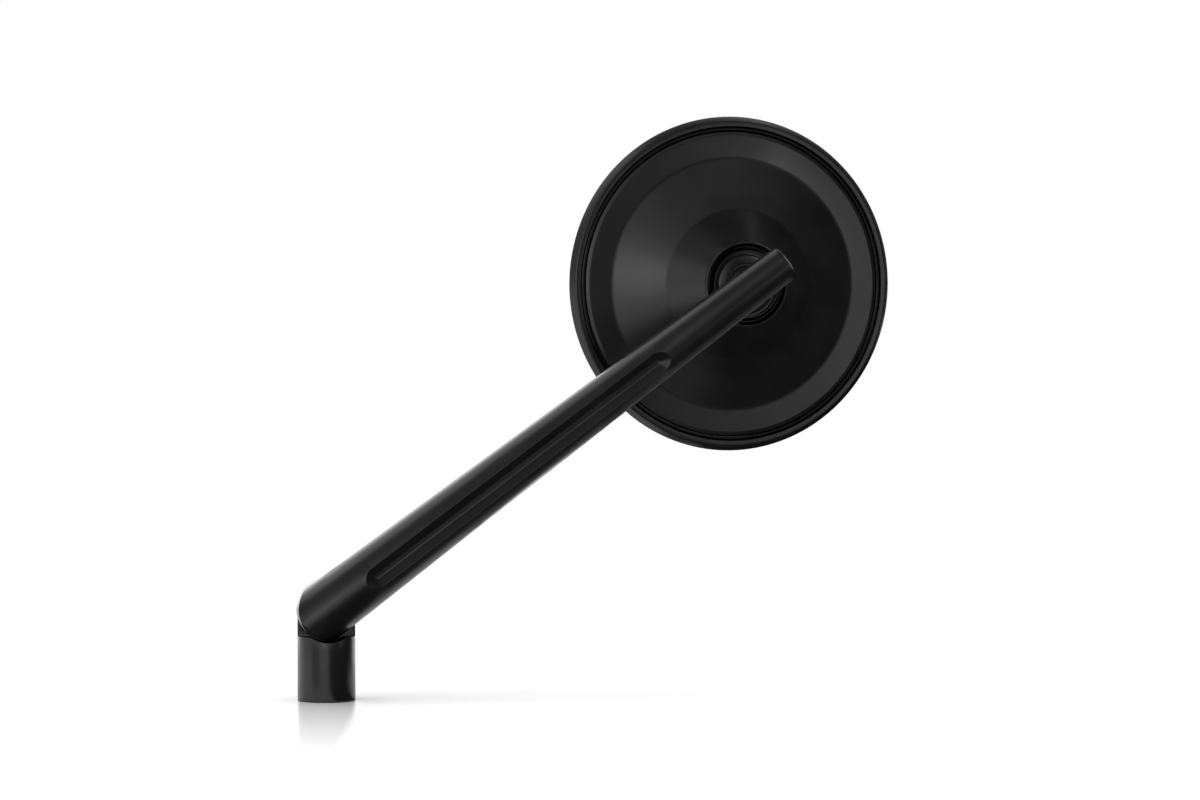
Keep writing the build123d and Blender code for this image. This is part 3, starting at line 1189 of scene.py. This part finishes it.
@dataclass(frozen=True)
class Card:
    """A flat studio card that only reflections see: black, or lit to a level where 1 is white.

    Sizes and places are in metres.
    """

    name: str
    centre: Vector
    facing: Vector
    width: float
    height: float
    level: float = 0.0
    one_sided: bool = False

    @classmethod
    def upright(
        cls, name: str, azimuths: Span, heights: Span, level: float = 0.0, away: float = CARD_AWAY
    ) -> "Card":
        """Card that stands beside the object and faces it.

        Args:
            name: The card's name.
            azimuths: Where it starts and ends, in degrees from the front towards +X.
            heights: Its foot and its top.
            level: Its light.
            away: Its distance from the studio's middle.

        Returns:
            The card.
        """
        facing = -aim(middle(azimuths))
        centre = STUDIO_MIDDLE - facing * away
        centre.z = middle(heights)
        return cls(name, centre, facing, spread_at(azimuths, away), heights[1] - heights[0], level)

    @classmethod
    def raised(
        cls, name: str, azimuths: Span, elevations: Span, level: float, away: float = CARD_AWAY
    ) -> "Card":
        """Card that hangs above the object and tilts towards it.

        Args:
            name: The card's name.
            azimuths: Where it starts and ends, in degrees from the front towards +X.
            elevations: Its lower and upper edge, in degrees above the studio's middle.
            level: Its light.
            away: Its distance from the studio's middle.

        Returns:
            The card.
        """
        facing = -aim(middle(azimuths), middle(elevations))
        reach = away * math.cos(math.radians(middle(elevations)))
        width, height = spread_at(azimuths, reach), spread_at(elevations, away)
        return cls(name, STUDIO_MIDDLE - facing * away, facing, width, height, level)

    @classmethod
    def beside_foot(cls, name: str, azimuths: Span, away: float, height: float, level: float = 0.0) -> "Card":
        """Low card that stands on the floor round the foot and shows only on the foot's side.

        Args:
            name: The card's name.
            azimuths: Where it starts and ends, in degrees from the front towards +X.
            away: Its distance from the foot's axis.
            height: Its height.
            level: Its light.

        Returns:
            The card.
        """
        facing = -aim(middle(azimuths))
        centre = Vector((0, 0, height / 2)) - facing * away
        return cls(name, centre, facing, spread_at(azimuths, away), height, level, True)

    @classmethod
    def ahead(cls, name: str, across: Span, depth: float, heights: Span, level: float = 0.0) -> "Card":
        """Card that stands square to the front, between two places along X and two heights."""
        centre = Vector((middle(across), depth, middle(heights)))
        return cls(name, centre, Vector((0, 1, 0)), across[1] - across[0], heights[1] - heights[0], level)

    @classmethod
    def laid(cls, name: str, across: Span, along: Span, height: float, level: float = 0.0) -> "Card":
        """Card that lies level, between places along X and Y, and shows only from above."""
        centre = Vector((middle(across), middle(along), height))
        return cls(name, centre, Vector((0, 0, 1)), across[1] - across[0], along[1] - along[0], level, True)

    @classmethod
    def overhead(cls, name: str, across: Span, along: Span, height: float, level: float = 0.0) -> "Card":
        """Card that hangs level above the object, between places along X and Y."""
        centre = Vector((middle(across), middle(along), height))
        return cls(name, centre, Vector((0, 0, -1)), across[1] - across[0], along[1] - along[0], level)

    def build(self) -> None:
        """Stand the card in the studio."""
        deselect()
        bpy.ops.mesh.primitive_plane_add(size=1, location=(0, 0, 0))
        card = bpy.context.object
        card.name = card.data.name = self.name
        turn = self.facing.to_track_quat("Z", "Y")
        scale = Matrix.Diagonal((self.width, self.height, 1, 1))
        card.matrix_world = Matrix.Translation(self.centre) @ turn.to_matrix().to_4x4() @ scale
        for flag in ("visible_camera", "visible_diffuse", "visible_shadow", "visible_transmission"):
            setattr(card, flag, False)
        card.data.materials.append(self.material())

    def material(self) -> bpy.types.Material:
        """Even glow of the card's level, clear from behind where it is one sided.

        Returns:
            The card's material.
        """
        graph = Graph(self.name)
        glow = graph.add("ShaderNodeEmission")
        glow.inputs["Strength"].default_value = self.level
        if not self.one_sided:
            return graph.surface(glow.outputs["Emission"])
        clear = graph.add("ShaderNodeBsdfTransparent")
        side = graph.add("ShaderNodeNewGeometry")
        mix = graph.add("ShaderNodeMixShader")
        graph.join(side.outputs["Backfacing"], mix.inputs["Fac"])
        graph.join(glow.outputs["Emission"], mix.inputs[1])
        graph.join(clear.outputs["BSDF"], mix.inputs[2])
        return graph.surface(mix.outputs["Shader"])


def area_lamp(name: str, width: float, length: float, level: float, place: Matrix) -> Piece:
    """Flat lamp that shines along its own -Z.

    Args:
        name: The lamp's name.
        width: Its size along its own X.
        length: Its size along its own Y.
        level: Its light, where 1 is white.
        place: Its place and turn.

    Returns:
        The lamp.
    """
    data = bpy.data.lights.new(name, "AREA")
    data.shape = "RECTANGLE"
    data.size, data.size_y = width, length
    data.energy = level * math.pi * width * length
    lamp = bpy.data.objects.new(name, data)
    lamp.matrix_world = place
    bpy.context.scene.collection.objects.link(lamp)
    return lamp


@dataclass(frozen=True)
class ArmLamp:
    """Strip lamp along the arm's lower rear side that shows only in reflections. Sizes are in metres."""

    name: str
    reach: Span
    below: float
    level: float
    behind: float = 0.0015
    width: float = 0.012

    def build(self) -> None:
        """Hang the lamp below the arm, shining on it."""
        along = arm_line.normalized()
        offset = Vector((along.z, 0, -along.x)) * self.below + Vector((0, self.behind, 0))
        back = offset.normalized()
        turn = Matrix((along.cross(back), along, back)).transposed().to_4x4()
        place = Matrix.Translation(pivot + along * middle(self.reach) + offset) @ turn
        lamp = area_lamp(self.name, self.width, self.reach[1] - self.reach[0], self.level, place)
        for flag in ("visible_camera", "visible_diffuse", "visible_transmission"):
            setattr(lamp, flag, False)


@dataclass
class Studio:
    """Camera, white floor, white surround, lamps and reflection cards. Sizes are in metres."""

    image_width_px: float = 1200.0
    azimuth: float = 9.0
    pitch: float = 2.0
    focal_px: float = 5000.0
    scale_at_pivot: float = 0.2896 * MM
    pivot_left_px: float = 273.6
    pivot_down_px: float = 209.7
    sensor: float = 36.0
    clip_end: float = 36.0
    floor_size: float = 12.0
    floor_white: float = 1.0
    floor_roughness: float = 0.1
    polish_length: Span = (0.005, 0.17)
    polish_half_width: Span = (0.0085, 0.0125)
    polish_behind: float = 0.004
    polish_grazing: Span = (0.845, 0.885)
    lamp_size: float = 0.9
    lamp_level: float = 1.0
    lamp_place: Triple = (-0.35, -0.15, 1.1)
    floor_gap: float = 0.0004
    foot_height: float = 0.0187
    foot_card_away: float = 0.022

    def cards(self) -> list[Card]:
        """Flags and lights that shape the reflections.

        Returns:
            The cards.
        """
        gap, low, near = self.floor_gap, self.foot_height, self.foot_card_away
        return [
            # Dark side on the right and overhead
            Card.upright("right_flag", (45, 95), (0, 1.16)),
            Card.upright("side_flag", (95, 140), (0, 1.16), 0.03),
            Card.upright("front_right_flag", (26, 46), (0, 0.62), 0.12),
            Card.overhead("top_flag", (-0.22, 0.95), (-0.68, 0.30), 0.92, 0.03),
            Card.overhead("top_strip", (0.44, 0.60), (-0.25, 0.15), 0.90, 0.4),
            # Flat ring of the shell and the left of its cone
            Card.ahead("front_flag", (0.115, 0.266), -0.30, (0, 0.35)),
            Card.ahead("right_strip", (0.266, 0.42), -0.30, (0.055, 0.19), 1.5),
            Card.upright("left_light", (-25, -12), (0.09, 0.30), 4.4),
            # Grey above the front and the left, along the arm's upper side
            Card.raised("upper_front_grey", (-22, 16), (12, 32), 0.65),
            Card.raised("top_front_grey", (-15, 45), (30, 50), 0.45),
            Card.raised("top_left_grey", (-90, -15), (30, 68), 0.24),
            # Light from behind and from the sides along the edges
            Card.upright("left_rim_light", (-178, -135), (0, 0.7), 2.8, 0.75),
            Card.upright("right_rim_light", (146, 176), (0, 0.7), 3.0, 0.75),
            Card.upright("left_side_grey", (-105, -70), (0.1, 0.5), 0.4, 0.6),
            Card.raised("back_left_light", (-150, -90), (30, 72), 1.5),
            Card(
                name="tip_light",
                centre=Vector((0.165, -0.003, 0.145)),
                facing=Vector((-0.87, -0.1, -0.49)),
                width=0.014,
                height=0.04,
                level=4.0,
                one_sided=True,
            ),
            # Floor under the arm and the head
            Card.laid("hinge_flag", (-0.06, 0.09), (-0.25, -0.004), low),
            Card.laid("floor_flag_left", (0.09, 0.16), (-0.08, 0.12), gap),
            Card.laid("floor_flag_right", (0.16, 1.0), (-0.40, 0.55), gap),
            Card.laid("floor_grey", (0.09, 0.16), (-0.40, -0.08), gap, 0.42),
            # Bands round the foot
            Card.beside_foot("foot_left_grey", (-52, -27), near, low, 0.45),
            Card.beside_foot("foot_front_grey", (-26, 0), near, low, 0.85),
            Card.beside_foot("foot_side_flag", (2, 68), near, low),
            Card.laid("foot_floor_flag", (0.002, 0.03), (-0.04, -0.002), gap),
            Card.laid("foot_flag", (0.03, 0.09), (-0.25, -0.005), gap),
            Card(
                name="low_card",
                centre=Vector((0.091, 0.087, 0.015)),
                facing=Vector((-0.8, -0.6, 0)),
                width=0.09,
                height=0.03,
                level=2.0,
                one_sided=True,
            ),
        ]

    def arm_lamps(self) -> list[ArmLamp]:
        """Strip lamps that light the arm's lower edge, fainter in front of the head.

        Returns:
            The lamps.
        """
        return [
            ArmLamp("arm_edge_lamp", (0.098, 0.168), 0.0112, 0.21),
            ArmLamp("arm_middle_lamp", (0.052, 0.098), 0.0125, 0.36),
        ]

    def camera(self) -> None:
        """Camera at the photograph's viewing angle."""
        azimuth, pitch = math.radians(self.azimuth), math.radians(self.pitch)
        level = math.cos(pitch)
        forward = Vector((math.sin(azimuth) * level, math.cos(azimuth) * level, -math.sin(pitch)))
        right = Vector((math.cos(azimuth), -math.sin(azimuth), 0))
        up = right.cross(forward)
        shift = right * self.pivot_left_px + up * self.pivot_down_px - forward * self.focal_px
        data = bpy.data.cameras.new("camera")
        data.sensor_width = self.sensor
        data.lens = self.sensor * self.focal_px / self.image_width_px
        data.clip_end = self.clip_end
        camera = bpy.data.objects.new("camera", data)
        bpy.context.scene.collection.objects.link(camera)
        turn = Matrix((right, up, -forward)).transposed().to_4x4()
        camera.matrix_world = Matrix.Translation(pivot + shift * self.scale_at_pivot) @ turn
        bpy.context.scene.camera = camera

    def world(self) -> None:
        """Even white surround."""
        world = bpy.data.worlds.new("surround")
        bpy.context.scene.world = world
        world.use_nodes = True
        background = world.node_tree.nodes["Background"]
        background.inputs["Color"].default_value = (1, 1, 1, 1)
        background.inputs["Strength"].default_value = 1.0

    def lamp(self) -> None:
        """Large soft lamp above the object, which reflections don't see."""
        centre = Vector(self.lamp_place)
        turn = (centre - ball_centre / 2).to_track_quat("Z", "Y").to_matrix().to_4x4()
        place = Matrix.Translation(centre) @ turn
        lamp = area_lamp("softbox", self.lamp_size, self.lamp_size, self.lamp_level, place)
        lamp.visible_glossy = False

    def polish(self, graph: Graph) -> Socket:
        """Share of polish on the floor: a strip before the foot that gleams at a grazing look.

        Args:
            graph: The floor's shader nodes.

        Returns:
            The share's socket, from 0 to 1.
        """
        turn = graph.add("ShaderNodeMapping", vector_type="TEXTURE")
        turn.inputs["Rotation"].default_value = (0, 0, -math.radians(self.azimuth))
        graph.join(graph.add("ShaderNodeTexCoord").outputs["Object"], turn.inputs["Vector"])
        parts = graph.add("ShaderNodeSeparateXYZ")
        graph.join(turn.outputs["Vector"], parts.inputs["Vector"])
        side = graph.add("ShaderNodeMath", operation="ABSOLUTE")
        graph.join(parts.outputs["X"], side.inputs[0])
        near, far = self.polish_length
        share = graph.spread(parts.outputs["Y"], 0.0, 1.0, (-far, -near))
        share = graph.product(share, graph.spread(parts.outputs["Y"], 1.0, 0.0, (0.0, self.polish_behind)))
        share = graph.product(share, graph.spread(side.outputs[0], 1.0, 0.0, self.polish_half_width))
        grazing = graph.add("ShaderNodeLayerWeight").outputs["Facing"]
        return graph.product(share, graph.spread(grazing, 0.0, 1.0, self.polish_grazing))

    def floor(self) -> None:
        """White floor, polished in front of the foot, that runs into the surround."""
        deselect()
        bpy.ops.mesh.primitive_plane_add(size=self.floor_size, location=(0, 0, 0))
        floor = bpy.context.object
        floor.name = floor.data.name = "floor"
        white = (self.floor_white,) * 3 + (1,)
        graph = Graph("white_floor")
        polished = graph.add("ShaderNodeBsdfPrincipled")
        polished.inputs["Base Color"].default_value = white
        polished.inputs["Roughness"].default_value = self.floor_roughness
        matt = graph.add("ShaderNodeBsdfDiffuse")
        matt.inputs["Color"].default_value = white
        mix = graph.add("ShaderNodeMixShader")
        graph.join(self.polish(graph), mix.inputs["Fac"])
        graph.join(matt.outputs["BSDF"], mix.inputs[1])
        graph.join(polished.outputs["BSDF"], mix.inputs[2])
        floor.data.materials.append(graph.surface(mix.outputs["Shader"]))

    def build(self) -> None:
        """Set up the studio."""
        self.camera()
        self.world()
        self.lamp()
        self.floor()
        for item in [*self.cards(), *self.arm_lamps()]:
            item.build()
        bpy.context.scene.view_settings.view_transform = "Standard"


def main() -> None:
    """Build the mirror and its studio."""
    logging.basicConfig(level=logging.INFO, format="%(name)s %(message)s")
    for assembly in (Foot(), HingeScrew(), Arm(), BallSocket(), HeadShell(), Glass(), Studio()):
        assembly.build()


if __name__ == "__main__":
    main()
